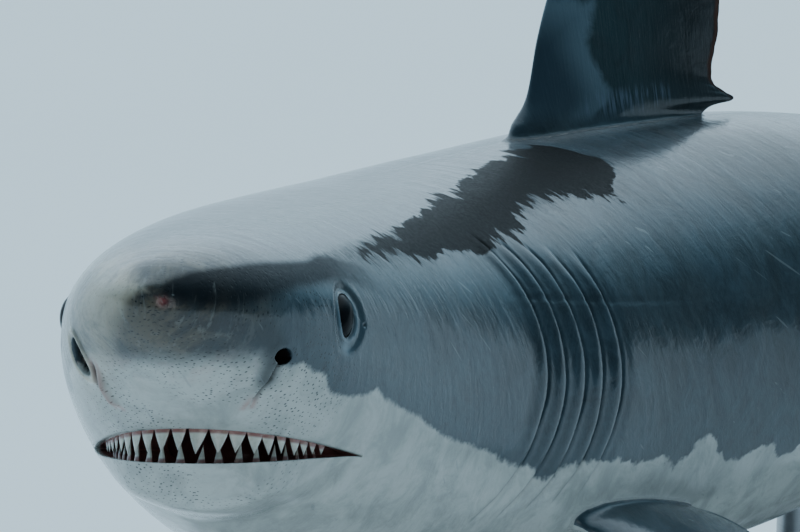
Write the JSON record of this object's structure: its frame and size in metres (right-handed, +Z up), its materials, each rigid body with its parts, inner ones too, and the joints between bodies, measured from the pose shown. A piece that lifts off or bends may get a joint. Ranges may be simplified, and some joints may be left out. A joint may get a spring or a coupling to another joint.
{
  "type": "life-size great white shark display model on a stand",
  "caption": "Life-size still model of a great white shark, head raised and body curved to its left, mouth slightly open, held by a flat base and short rods.",
  "frame": {"origin": "middle of the stand base's underside", "axes": "+Z up; +Y runs along the trunk towards the tail, so the head is towards -Y; +X to the shark's left"},
  "size_m": [1.568, 3.5391, 1.5667],
  "materials": {
    "skin": "wet gloss, dark grey-brown above and white below with a ragged border",
    "mouth": "wet pink gum",
    "teeth": "polished off-white",
    "eye": "polished black-brown",
    "stand_base": "satin near-black paint on board",
    "stand_rod": "brushed"
  },
  "bodies": {
    "root": {"head": "skin", "lower_jaw": "skin", "gill_region": "skin", "chest": "skin", "belly": "skin", "hind_trunk": "skin", "tail_stalk": "skin", "eye_left": "eye", "eye_right": "eye", "first_dorsal_fin": "skin", "second_dorsal_fin": "skin", "anal_fin": "skin", "pectoral_fin_left": "skin", "pectoral_fin_right": "skin", "pelvic_fin_left": "skin", "pelvic_fin_right": "skin", "tail_fin_upper_lobe": "skin", "tail_fin_lower_lobe": "skin", "stand_base": "stand_base", "stand_rod_front": "stand_rod", "stand_rod_rear": "stand_rod"}
  },
  "joints": []
}
